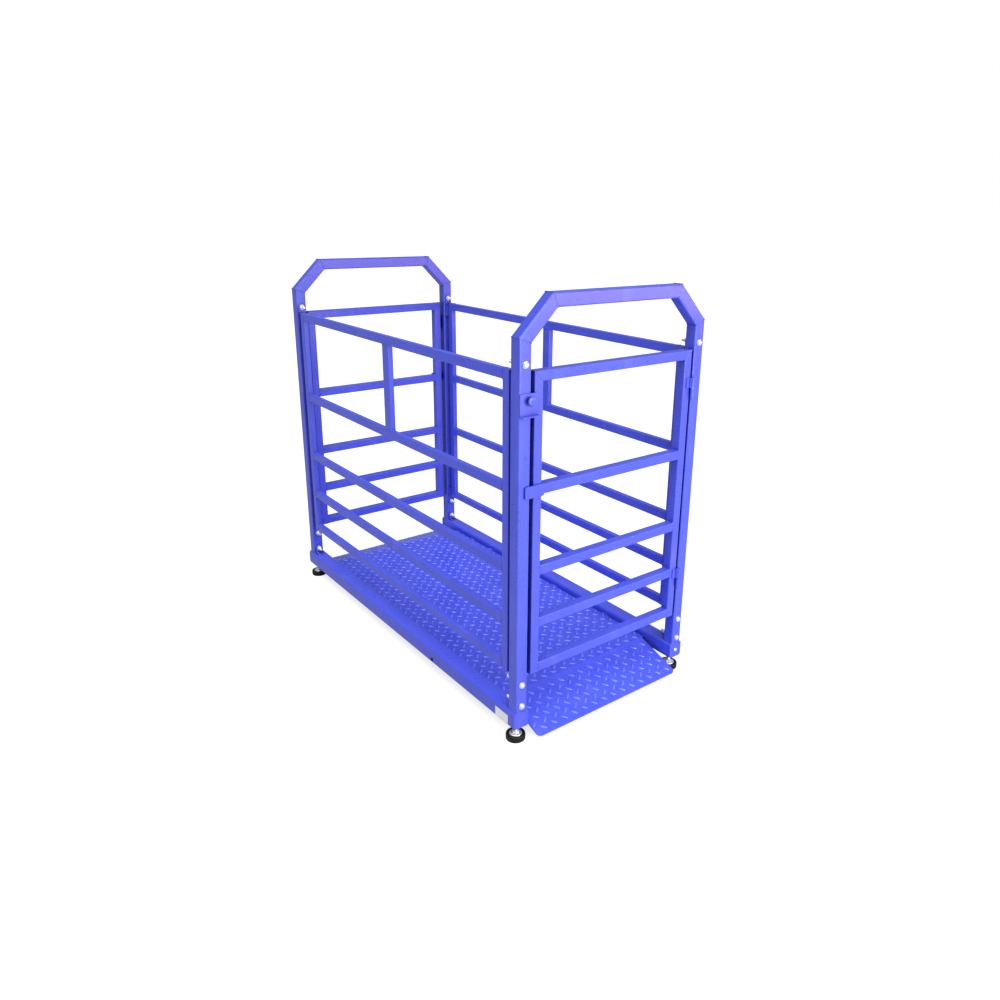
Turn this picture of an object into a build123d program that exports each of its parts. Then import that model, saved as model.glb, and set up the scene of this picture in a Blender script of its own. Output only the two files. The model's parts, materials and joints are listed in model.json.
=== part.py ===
from build123d import *
import os
from math import atan2, cos, radians, tan

# Animal weighing scale: a platform on four load cells, carrying a barred cage with a gate at each end.
# Frame: X across, Y along (front gate at -Y), Z up from the floor, origin under the middle. Millimetres.

# Platform
BEAM_X = 340.0          # centre line of each side beam
BEAM_SIZE = 54.0
BEAM_CORNER = 7.0
BEAM_WALL = 4.0
BEAM_SLOT = 28.0        # open slot along the beam's underside
BEAM_BOTTOM = 52.0
BEAM_TOP = BEAM_BOTTOM + BEAM_SIZE
HALF_LENGTH = 750.0     # beams and hoops end here
CAP = 4.0
INNER_FACE = BEAM_X - BEAM_SIZE / 2

# Deck and lips
PLATE = 4.0
DECK_TOP = 83.0
DECK_HALF_W = INNER_FACE - 1.0
BEND_Y = 622.0
LIP_HALF_W = 302.0
LIP_END_Y = 790.0
LIP_END_TOP = 26.0
LIP_CORNER = 16.0
LIP_SLOPE = atan2(DECK_TOP - LIP_END_TOP, LIP_END_Y - BEND_Y)
RIB_X = (-200.0, 0.0, 200.0)
RIB_THICK = 5.0
RIB_END_Y = LIP_END_Y - 25.0
CROSS_Y = (-590.0, -295.0, 0.0, 295.0, 590.0)
CROSS_W = 50.0
CROSS_H = 25.0

# Load cells and feet
FOOT_Y = 722.0
CELL_LENGTH = 130.0
CELL_W = 30.0
CELL_H = 32.0
CELL_TOP = BEAM_TOP - BEAM_WALL - 4.0
CELL_BOTTOM = CELL_TOP - CELL_H
CELL_BOLT_Y = (618.0, 642.0)
CELL_BOLT_R = 5.0
PAD_R = 30.5
PAD_H = 20.0
STUD_R = 6.0
PAD_SEAT = PAD_H - 5.0
FLANGE_R = 20.0
FLANGE_H = 7.0
STUD_HEX = 19.0         # across the flats of the stud's hexagon and its lock nut
STUD_TOP = CELL_BOTTOM + 24.0
LOCK_NUT_BOTTOM = 40.0
LOCK_NUT_H = 9.0
FIT = 0.06              # radial running clearance

# Hoops
POST = 40.0
POST_X = 340.0          # centre line of a post
POST_WALL = 2.5
HOOP_TOP = 1344.0
CHAMFER = 111.0
POST_Y = HALF_LENGTH - POST / 2
POST_BACK = -HALF_LENGTH + POST
BOLT_LEVELS = (127.0, 199.0, 1162.0)
BOLT_R = 5.0
BOLT_HOLE_R = BOLT_R + 0.3
BOLT_HEAD_R = 9.0
BOLT_TAIL = 30.0        # how far a bolt reaches past the post's back face
WASHER = 1.5
LUG_W = 28.0
LUG_THICK = 5.0

# Side panels and gates share their rail levels (undersides)
LEVELS = (224.0, 374.0, 542.0, 790.0, 1112.0)
RAIL_H = 30.0
PANEL_X = 344.0         # centre plane of a panel
PANEL_DEPTH = 20.0
PANEL_HALF_L = 695.0
STUB_W = 40.0
TUBE_WALL = 2.0
GATE_TUBE = 30.0
GATE_LEFT = -308.0
GATE_RIGHT = 312.0
GATE_Y = -HALF_LENGTH + GATE_TUBE / 2
FRAME_TOP = LEVELS[-1] + RAIL_H

# Hinges
HINGE_X = 316.0
HINGE_Y = -HALF_LENGTH - 6.5
KNUCKLE_R = 6.5
KNUCKLE_L = 32.0
PIN_R = 3.5
HINGE_MIDS = (367.0, 1022.0)
LEAF = 3.0
LEAF_START = 7.0
LEAF_W = 16.0

# Latch
LATCH_X = -328.0
LATCH_Z = 1065.0
LATCH_LEFT = -360.0
LATCH_RIGHT = -298.0
LATCH_LOW = 1022.0
LATCH_HIGH = 1085.0
LATCH_GAP = 1.0         # the plate stands this far off the post
LATCH_THICK = 3.0
LATCH_LIP = 15.0
LATCH_BOLT_R = 5.0
KNOB_R = 13.0
KNOB_BACK = -HALF_LENGTH - 13.0
KNOB_THICK = 6.0

# Junction box, under the deck behind the middle
JUNCTION_HALF_X = 60.0
JUNCTION_Y = (-205.0, -125.0)
JUNCTION_BOTTOM = 40.0
JUNCTION_WALL = 4.0
JUNCTION_LID = 3.0
JUNCTION_SCREW_X = (-48.0, 48.0)
JUNCTION_SCREW_Y = (-193.0, -137.0)
JUNCTION_SCREW_R = 2.0
GLAND_Z = 56.0
GLAND_THREAD_R = 6.0
GLAND_BORE_R = 3.5
GLAND_PLACES = ((0.0, JUNCTION_Y[0], -1), (-30.0, JUNCTION_Y[1], 1), (30.0, JUNCTION_Y[1], 1))

# Grommet in the left beam's outer wall, where the lead comes out
GROMMET_Y = -277.0
GROMMET_Z = BEAM_BOTTOM + 14.0
GROMMET_R = 6.5
GROMMET_NECK_R = 5.0
GROMMET_BORE_R = 3.0
GROMMET_FLANGE = 1.5

# Label
LABEL_Y = (-718.0, -653.0)
LABEL_Z = (59.0, 88.0)
LABEL_THICK = 0.4


def box(x0, x1, y0, y1, z0, z1):
    return Pos((x0 + x1) / 2, (y0 + y1) / 2, (z0 + z1) / 2) * Box(x1 - x0, y1 - y0, z1 - z0)


def rod(p0, p1, radius):
    """Round bar between two points."""
    start = Vector(*p0)
    run = Vector(*p1) - start
    return Solid.make_cylinder(radius, run.length, Plane(origin=start, z_dir=run.normalized()))


def hexagon(p0, p1, across_flats):
    """Hexagonal bar between two points."""
    start = Vector(*p0)
    run = Vector(*p1) - start
    plane = Plane(origin=start, z_dir=run.normalized())
    return extrude(plane * RegularPolygon(across_flats / 2, 6, major_radius=False), run.length)


def tube(p0, p1, width, height, wall, corner, across, floor=0.0):
    """Rounded rectangular tube from p0 to p1, with its width along the direction across.

    A floor above zero closes the p1 end with a cap of that thickness."""
    start = Vector(*p0)
    run = Vector(*p1) - start
    plane = Plane(origin=start, x_dir=across, z_dir=run.normalized())
    outer = extrude(plane * RectangleRounded(width, height, corner), run.length)
    hollow = RectangleRounded(width - 2 * wall, height - 2 * wall, max(corner - wall, 0.5))
    return outer - extrude(plane * hollow, run.length - floor)


def mitre(solid, corner, before, after):
    """Cut a tube back to the mitre plane at a corner, keeping the side that before lies on."""
    a = (Vector(*before) - Vector(*corner)).normalized()
    b = (Vector(*after) - Vector(*corner)).normalized()
    plane = Plane(origin=corner, z_dir=(a - b).normalized())
    return split(solid, bisect_by=plane, keep=Keep.TOP)


def bar_chain(points, width, height, wall, corner, across, floors):
    """Tubes along a chain of points, mitred where they meet. Returns one solid per straight run."""
    bars = []
    last = len(points) - 2
    for i in range(len(points) - 1):
        p0, p1 = points[i], points[i + 1]
        run = (Vector(*p1) - Vector(*p0)).normalized()
        reach = width
        a = Vector(*p0) - run * (reach if i > 0 else 0)
        b = Vector(*p1) + run * (reach if i < last else 0)
        if i == 0 and floors:
            bar = tube(tuple(b), tuple(a), width, height, wall, corner, across, floors)
        elif i == last and floors:
            bar = tube(tuple(a), tuple(b), width, height, wall, corner, across, floors)
        else:
            bar = tube(tuple(a), tuple(b), width, height, wall, corner, across)
        if i > 0:
            bar = mitre(bar, p0, p1, points[i - 1])
        if i < last:
            bar = mitre(bar, p1, p0, points[i + 2])
        bars.append(bar)
    return bars


def turned(shape):
    """The same piece at the rear end: half a turn about the vertical middle line."""
    return Rot(0, 0, 180) * shape


def group(shapes):
    solids = []
    for shape in shapes:
        solids += list(shape.solids())
    return Compound(children=solids)


def save(name, *shapes):
    export_step(group(shapes), f"parts/{name}.step")


# ---------------------------------------------------------------- platform

def side_beam(side):
    """Folded channel, open along its underside, with rounded long edges."""
    plane = Plane(origin=(side * BEAM_X, -HALF_LENGTH + CAP, BEAM_BOTTOM + BEAM_SIZE / 2),
                  x_dir=(1, 0, 0), z_dir=(0, 1, 0))
    length = 2 * (HALF_LENGTH - CAP)
    skin = extrude(plane * RectangleRounded(BEAM_SIZE, BEAM_SIZE, BEAM_CORNER), length)
    inside = BEAM_SIZE - 2 * BEAM_WALL
    skin -= extrude(plane * RectangleRounded(inside, inside, BEAM_CORNER - BEAM_WALL), length)
    slot = BEAM_SLOT / 2
    skin -= box(side * BEAM_X - slot, side * BEAM_X + slot, -HALF_LENGTH, HALF_LENGTH,
                BEAM_BOTTOM - 1, BEAM_BOTTOM + BEAM_WALL + 1)
    if side < 0:
        outer = -BEAM_X - BEAM_SIZE / 2
        skin -= rod((outer - 1, GROMMET_Y, GROMMET_Z), (outer + BEAM_WALL + 1, GROMMET_Y, GROMMET_Z),
                    GROMMET_NECK_R + FIT)
    return skin


def beam_cap(side, end):
    """Flat plate that closes a beam's end."""
    plane = Plane(origin=(side * BEAM_X, end * HALF_LENGTH, BEAM_BOTTOM + BEAM_SIZE / 2),
                  x_dir=(1, 0, 0), z_dir=(0, -end, 0))
    return extrude(plane * RectangleRounded(BEAM_SIZE, BEAM_SIZE, BEAM_CORNER), CAP)


def end_plug():
    """Round-headed plug bolt in the middle of the right beam's front end face."""
    z = BEAM_BOTTOM + BEAM_SIZE / 2
    head = rod((BEAM_X, -HALF_LENGTH, z), (BEAM_X, -HALF_LENGTH - 4, z), 7)
    return fillet(head.edges().group_by(Axis.Y)[0], 1.5)


def cross_member(y):
    """Flat tube between the beams that carries the deck."""
    top = DECK_TOP - PLATE
    return tube((-INNER_FACE, y, top - CROSS_H / 2), (INNER_FACE, y, top - CROSS_H / 2),
                CROSS_W, CROSS_H, 2.5, 3.5, (0, 1, 0))


def deck_plate():
    return box(-DECK_HALF_W, DECK_HALF_W, -BEND_Y, BEND_Y, DECK_TOP - PLATE, DECK_TOP)


def lip_top(y):
    """Height of the lip's top face at a distance y from the middle."""
    return DECK_TOP - (DECK_TOP - LIP_END_TOP) * (y - BEND_Y) / (LIP_END_Y - BEND_Y)


def front_lip():
    """Sloped plate from the deck's bend to its free edge, with rounded outer corners."""
    run = Vector(0, BEND_Y - LIP_END_Y, LIP_END_TOP - DECK_TOP)
    normal = run.cross(Vector(1, 0, 0)).normalized()
    plane = Plane(origin=(0, -BEND_Y, DECK_TOP), x_dir=(-1, 0, 0), z_dir=normal)
    sheet = Pos(0, run.length / 2) * Rectangle(2 * LIP_HALF_W, run.length)
    sheet = fillet(sheet.vertices().group_by(Axis.Y)[-1], LIP_CORNER)
    plate = extrude(plane * sheet, -PLATE)
    return plate - box(-LIP_HALF_W, LIP_HALF_W, -BEND_Y, -BEND_Y + PLATE, 0, DECK_TOP + PLATE)


def lip_rib(x):
    """Triangular web between the end cross member and the lip's underside."""
    under = PLATE / cos(LIP_SLOPE) + 0.05
    root = -CROSS_Y[-1] - CROSS_W / 2
    tip = -RIB_END_Y
    tip_top = lip_top(RIB_END_Y) - under
    root_low = DECK_TOP - PLATE - CROSS_H
    bend_top = DECK_TOP - under
    outline = Polyline((x, root, root_low), (x, tip, tip_top - 8), (x, tip, tip_top), (x, -BEND_Y, bend_top),
                       (x, root, bend_top), close=True)
    return Pos(-RIB_THICK / 2, 0, 0) * extrude(make_face(outline), RIB_THICK, dir=(1, 0, 0))


def load_cell(side, end):
    """Shear-beam load cell: fixed at its inner end, the foot's stud screws into its outer end."""
    x = side * BEAM_X
    outer = FOOT_Y + 15
    ys = sorted((end * outer, end * (outer - CELL_LENGTH)))
    cell = box(x - CELL_W / 2, x + CELL_W / 2, ys[0], ys[1], CELL_BOTTOM, CELL_TOP)
    middle = (CELL_BOTTOM + CELL_TOP) / 2
    for y in (666.0, 692.0):
        cell -= rod((x - CELL_W, end * y, middle), (x + CELL_W, end * y, middle), 8)
    for y in CELL_BOLT_Y:
        cell -= rod((x, end * y, CELL_BOTTOM - 1), (x, end * y, CELL_TOP + 1), CELL_BOLT_R + 0.5)
    return cell - rod((x, end * FOOT_Y, CELL_BOTTOM - 1), (x, end * FOOT_Y, CELL_TOP + 1), STUD_R + FIT)


def cell_spacer(side, end):
    """Plate between the cell's fixed end and the beam's web, tapped for the cell's bolts."""
    x = side * BEAM_X
    ys = sorted((end * 608.0, end * 652.0))
    plate = box(x - CELL_W / 2, x + CELL_W / 2, ys[0], ys[1], CELL_TOP, BEAM_TOP - BEAM_WALL)
    for y in CELL_BOLT_Y:
        plate -= rod((x, end * y, CELL_TOP - 1), (x, end * y, BEAM_TOP), CELL_BOLT_R + FIT)
    return plate


def cell_bolt(side, end, y):
    x = side * BEAM_X
    shank = rod((x, end * y, CELL_BOTTOM), (x, end * y, BEAM_TOP - BEAM_WALL), CELL_BOLT_R)
    head = hexagon((x, end * y, CELL_BOTTOM - 7), (x, end * y, CELL_BOTTOM), 17)
    return shank + head


# ---------------------------------------------------------------- feet

def foot_pad(x, y):
    """Round rubber pad with a shallow seat in its top for the stud's flange."""
    pad = rod((x, y, 0), (x, y, PAD_H), PAD_R)
    pad = fillet(pad.edges().group_by(Axis.Z)[-1], 3)
    pad = chamfer(pad.edges().group_by(Axis.Z)[0], 2)
    return pad - rod((x, y, PAD_SEAT), (x, y, PAD_H + 1), FLANGE_R + 1)


def foot_stud(x, y):
    """Steel flange, hexagon and stud that screws up into the load cell."""
    shoulder = PAD_SEAT + FLANGE_H
    flange = rod((x, y, PAD_SEAT), (x, y, shoulder), FLANGE_R)
    flange = fillet(flange.edges().group_by(Axis.Z)[-1], 3)
    neck = hexagon((x, y, shoulder), (x, y, shoulder + 8), STUD_HEX)
    stud = rod((x, y, shoulder + 8), (x, y, STUD_TOP), STUD_R)
    return chamfer((flange + neck + stud).edges().group_by(Axis.Z)[-1], 1)


def lock_nut(x, y):
    top = LOCK_NUT_BOTTOM + LOCK_NUT_H
    nut = hexagon((x, y, LOCK_NUT_BOTTOM), (x, y, top), STUD_HEX)
    return nut - rod((x, y, LOCK_NUT_BOTTOM - 1), (x, y, top + 1), STUD_R + FIT)


# ---------------------------------------------------------------- junction box

def junction_shell(z0, z1, inset):
    block = box(-JUNCTION_HALF_X + inset, JUNCTION_HALF_X - inset, JUNCTION_Y[0] + inset,
                JUNCTION_Y[1] - inset, z0, z1)
    return block if inset else fillet(block.edges().filter_by(Axis.Z), 5)


def junction_places():
    return [(x, y) for x in JUNCTION_SCREW_X for y in JUNCTION_SCREW_Y]


def junction_box():
    """Shallow box welded under the deck, where the four load-cell leads meet."""
    roof = DECK_TOP - PLATE
    shell = junction_shell(JUNCTION_BOTTOM, roof, 0)
    shell -= junction_shell(JUNCTION_BOTTOM - 1, roof - JUNCTION_WALL, JUNCTION_WALL)
    for x, face, out in GLAND_PLACES:
        shell -= rod((x, face - out * 6, GLAND_Z), (x, face + out * 6, GLAND_Z), GLAND_THREAD_R + 0.1)
    return shell


def junction_lid():
    low = JUNCTION_BOTTOM - JUNCTION_LID
    lid = junction_shell(low, JUNCTION_BOTTOM, 0)
    for x, y in junction_places():
        lid -= rod((x, y, low - 1), (x, y, JUNCTION_BOTTOM + 1), JUNCTION_SCREW_R + 0.2)
    return lid


def junction_posts():
    """Corner posts of the box that take the lid's screws."""
    roof = DECK_TOP - PLATE - JUNCTION_WALL
    posts = []
    for x, y in junction_places():
        hole = rod((x, y, JUNCTION_BOTTOM), (x, y, JUNCTION_BOTTOM + 14), JUNCTION_SCREW_R + FIT)
        posts.append(rod((x, y, JUNCTION_BOTTOM), (x, y, roof), 5) - hole)
    return posts


def junction_screws():
    low = JUNCTION_BOTTOM - JUNCTION_LID
    screws = []
    for x, y in junction_places():
        shank = rod((x, y, low), (x, y, JUNCTION_BOTTOM + 12), JUNCTION_SCREW_R)
        screws.append(shank + rod((x, y, low - 2.5), (x, y, low), 2 * JUNCTION_SCREW_R))
    return screws


def glands():
    """Cable glands of the junction box: one on its front face, two on its rear face."""
    pieces = []
    for x, face, out in GLAND_PLACES:
        body = rod((x, face - out * JUNCTION_WALL, GLAND_Z), (x, face, GLAND_Z), GLAND_THREAD_R)
        body += hexagon((x, face, GLAND_Z), (x, face + out * 5, GLAND_Z), 3 * GLAND_THREAD_R)
        body += rod((x, face + out * 5, GLAND_Z), (x, face + out * 16, GLAND_Z), 2 * GLAND_BORE_R)
        pieces.append(body - rod((x, face - out * 6, GLAND_Z), (x, face + out * 18, GLAND_Z), GLAND_BORE_R))
    return pieces


# ---------------------------------------------------------------- hoops

def front_hoop():
    """Posts, chamfered shoulders and top bar of square tube, mitred where they meet."""
    half = POST / 2
    inset = half * tan(radians(22.5))
    shoulder = HOOP_TOP - CHAMFER - inset
    crown = HOOP_TOP - half
    corner_x = POST_X + half - CHAMFER - inset
    y = -POST_Y
    points = [(-POST_X, y, BEAM_TOP), (-POST_X, y, shoulder), (-corner_x, y, crown),
              (corner_x, y, crown), (POST_X, y, shoulder), (POST_X, y, BEAM_TOP)]
    bars = bar_chain(points, POST, POST, POST_WALL, 4, (0, 1, 0), 4)
    bars[0] = drill_post(bars[0], -POST_X)
    bars[-1] = drill_post(bars[-1], POST_X)
    hole_y = -HALF_LENGTH
    bars[0] -= rod((LATCH_X, hole_y - 1, LATCH_Z), (LATCH_X, hole_y + 12, LATCH_Z), LATCH_BOLT_R + 0.8)
    return bars


def drill_post(post, x):
    """Clearance holes for the bolts that run through a post, front to back."""
    for z in BOLT_LEVELS:
        post -= rod((x, -HALF_LENGTH - 1, z), (x, POST_BACK + 1, z), BOLT_HOLE_R)
    return post


def lug(x, low, high, round_top, hole_z):
    """Flat lug against the post's inner face, rounded at one end and drilled."""
    plane = Plane(origin=(x, POST_BACK, 0), x_dir=(1, 0, 0), z_dir=(0, -1, 0))
    r = LUG_W / 2
    tip = high - r if round_top else low + r
    straight = (low, tip) if round_top else (tip, high)
    outline = Pos(0, (straight[0] + straight[1]) / 2) * Rectangle(LUG_W, straight[1] - straight[0])
    outline += Pos(0, tip) * Circle(r)
    plate = extrude(plane * outline, -LUG_THICK)
    return plate - rod((x, POST_BACK - 1, hole_z), (x, POST_BACK + LUG_THICK + 1, hole_z), BOLT_HOLE_R)


def panel_lugs(side):
    """Upper and lower lugs of one panel at the front end, with the blocks that join them to its end bar."""
    x = side * POST_X
    y0 = POST_BACK + LUG_THICK
    upper = lug(x, FRAME_TOP - 60, BOLT_LEVELS[2] + LUG_W / 2, True, BOLT_LEVELS[2])
    upper += box(x - 8, x + 8, y0, -PANEL_HALF_L, FRAME_TOP - 55, FRAME_TOP - 10)
    lower = lug(x, BOLT_LEVELS[1] - LUG_W / 2, LEVELS[0] + 45, False, BOLT_LEVELS[1])
    lower += box(x - 8, x + 8, y0, -PANEL_HALF_L, LEVELS[0] + 5, LEVELS[0] + 40)
    return [upper, lower]


def foot_lug(side):
    """Upright lug welded to the beam's top behind the post, and the rib that stiffens it."""
    x = side * POST_X
    y0 = POST_BACK + LUG_THICK
    plate = lug(x, BEAM_TOP, BOLT_LEVELS[0] + LUG_W / 2 + 2, True, BOLT_LEVELS[0])
    outline = Polyline((x, y0, BEAM_TOP), (x, y0 + 35, BEAM_TOP), (x, y0, BEAM_TOP + 14), close=True)
    return plate + Pos(10, 0, 0) * extrude(make_face(outline), 4, dir=(1, 0, 0))


def post_bolt(x, z):
    """Round-headed bolt through post and lug."""
    face = -HALF_LENGTH - WASHER
    head = rod((x, face, z), (x, face - 7, z), BOLT_HEAD_R)
    head = fillet(head.edges().group_by(Axis.Y)[0], 3)
    return head + rod((x, face, z), (x, POST_BACK + BOLT_TAIL, z), BOLT_R)


def post_washers(x, z):
    pieces = []
    for y in (-HALF_LENGTH - WASHER, POST_BACK + LUG_THICK):
        ring = rod((x, y, z), (x, y + WASHER, z), BOLT_HEAD_R + 1)
        pieces.append(ring - rod((x, y - 1, z), (x, y + 3, z), BOLT_HOLE_R))
    return pieces


def post_nut(x, z):
    y = POST_BACK + LUG_THICK + WASHER
    return hexagon((x, y, z), (x, y + 8, z), 16) - rod((x, y - 1, z), (x, y + 9, z), BOLT_R + FIT)


# ---------------------------------------------------------------- side panels

def end_bars(side):
    x = side * PANEL_X
    bars = []
    for end in (-1, 1):
        y = end * (PANEL_HALF_L - RAIL_H / 2)
        bars.append(tube((x, y, LEVELS[0]), (x, y, FRAME_TOP), PANEL_DEPTH, RAIL_H, TUBE_WALL, 3,
                         (1, 0, 0), 2))
    return bars


def panel_rail(side, level):
    x = side * PANEL_X
    reach = PANEL_HALF_L - RAIL_H
    z = level + RAIL_H / 2
    return tube((x, -reach, z), (x, reach, z), PANEL_DEPTH, RAIL_H, TUBE_WALL, 3, (1, 0, 0))


def panel_stub(side):
    x = side * PANEL_X
    return tube((x, 0, LEVELS[3] + RAIL_H), (x, 0, LEVELS[4]), PANEL_DEPTH, STUB_W, TUBE_WALL, 3, (1, 0, 0))


# ---------------------------------------------------------------- gates

def gate_frame():
    """Two stiles and a top bar, mitred at the top corners, and a bottom rail between the stiles."""
    left = GATE_LEFT + GATE_TUBE / 2
    right = GATE_RIGHT - GATE_TUBE / 2
    top = FRAME_TOP - GATE_TUBE / 2
    points = [(left, GATE_Y, LEVELS[0]), (left, GATE_Y, top), (right, GATE_Y, top), (right, GATE_Y, LEVELS[0])]
    return bar_chain(points, GATE_TUBE, GATE_TUBE, TUBE_WALL, 3, (0, 1, 0), 2) + [gate_rail(LEVELS[0])]


def gate_rail(level):
    z = level + GATE_TUBE / 2
    return tube((GATE_LEFT + GATE_TUBE, GATE_Y, z), (GATE_RIGHT - GATE_TUBE, GATE_Y, z),
                GATE_TUBE, GATE_TUBE, TUBE_WALL, 3, (0, 1, 0))


def stop_tab():
    """Flat bar on the gate's fourth rail that reaches over the latch post and stops the gate."""
    low = LEVELS[3] - 2
    right = GATE_LEFT + GATE_TUBE + 4
    tab = box(-POST_X, right, -HALF_LENGTH - 6, -HALF_LENGTH - 1, low, low + 35)
    tab = fillet(tab.edges().filter_by(Axis.Y), 4)
    weld_x = (GATE_LEFT + 5, GATE_LEFT + GATE_TUBE - 5)
    return tab + box(*weld_x, -HALF_LENGTH - 1, -HALF_LENGTH, low + 6, low + 29)


def knuckle(z0, hole_r, side):
    """Hinge barrel with a leaf that lies on the tube's front face, on the right (1) or left (-1)."""
    top = z0 + KNUCKLE_L
    near = HINGE_X + side * LEAF_START
    leaf_x = sorted((near, near + side * LEAF_W))
    web_x = sorted((HINGE_X, near + side * LEAF))
    barrel = rod((HINGE_X, HINGE_Y, z0), (HINGE_X, HINGE_Y, top), KNUCKLE_R)
    barrel += box(*leaf_x, -HALF_LENGTH - LEAF, -HALF_LENGTH, z0, top)
    barrel += box(*web_x, HINGE_Y, -HALF_LENGTH - 0.5, z0, top)
    return barrel - rod((HINGE_X, HINGE_Y, z0 - 1), (HINGE_X, HINGE_Y, top + 1), hole_r)


def post_knuckle(mid):
    """Lower knuckle, welded to the post, that holds the pin."""
    return knuckle(mid - KNUCKLE_L - 0.5, PIN_R, 1)


def gate_knuckle(mid):
    """Upper knuckle, welded to the gate, that turns on the pin."""
    return knuckle(mid + 0.5, PIN_R + FIT, -1)


def hinge_pin(mid):
    low = mid - KNUCKLE_L - 0.5
    pin = rod((HINGE_X, HINGE_Y, low), (HINGE_X, HINGE_Y, mid + KNUCKLE_L), PIN_R)
    return pin + rod((HINGE_X, HINGE_Y, mid - 0.4), (HINGE_X, HINGE_Y, mid + 0.4), KNUCKLE_R - 1)


# ---------------------------------------------------------------- latch

def latch_plate():
    """Plate welded to the gate's stile that reaches over the post, folded out below as a finger lip."""
    back = -HALF_LENGTH - LATCH_GAP
    front = back - LATCH_THICK
    plate = box(LATCH_LEFT, LATCH_RIGHT, front, back, LATCH_LOW, LATCH_HIGH)
    plate = fillet(plate.edges().filter_by(Axis.Y).group_by(Axis.Z)[-1], 4)
    plate += box(LATCH_LEFT, LATCH_RIGHT, front - LATCH_LIP, front, LATCH_LOW, LATCH_LOW + LATCH_THICK)
    plate += box(GATE_LEFT + 3, LATCH_RIGHT, back, -HALF_LENGTH, LATCH_LOW + 6, LATCH_HIGH - 6)
    return plate - rod((LATCH_X, front - 1, LATCH_Z), (LATCH_X, back + 1, LATCH_Z), LATCH_BOLT_R + FIT)


def latch_bolt():
    """Round knob on a plain bolt, drawn back clear of the post."""
    tip = -HALF_LENGTH - LATCH_GAP
    knob = rod((LATCH_X, KNOB_BACK, LATCH_Z), (LATCH_X, KNOB_BACK - KNOB_THICK, LATCH_Z), KNOB_R)
    knob = fillet(knob.edges().group_by(Axis.Y)[0], 2.5)
    return knob + rod((LATCH_X, KNOB_BACK, LATCH_Z), (LATCH_X, tip, LATCH_Z), LATCH_BOLT_R)


# ---------------------------------------------------------------- lead outlet

def lead_grommet():
    """Rubber ring with a flange on either side of the left beam's outer wall."""
    outer = -BEAM_X - BEAM_SIZE / 2
    inner = outer + BEAM_WALL

    def disc(x0, x1, radius):
        return rod((x0, GROMMET_Y, GROMMET_Z), (x1, GROMMET_Y, GROMMET_Z), radius)

    flange = disc(outer - GROMMET_FLANGE, outer, GROMMET_R)
    flange = fillet(flange.edges().group_by(Axis.X)[0], 0.8)
    ring = flange + disc(outer, inner, GROMMET_NECK_R) + disc(inner, inner + GROMMET_FLANGE, GROMMET_R)
    return ring - disc(outer - 5, inner + 5, GROMMET_BORE_R)


# ---------------------------------------------------------------- label

def label_plate():
    """Blank plate on the left beam's outer face."""
    face = -BEAM_X - BEAM_SIZE / 2
    return box(face - LABEL_THICK, face, *LABEL_Y, *LABEL_Z)


# ---------------------------------------------------------------- write the nodes

def both_ends(shapes):
    return list(shapes) + [turned(s) for s in shapes]


def at_end(end, shapes):
    """The front end's pieces, or their turned copies at the rear."""
    return [turned(s) for s in shapes] if end > 0 else list(shapes)


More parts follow.
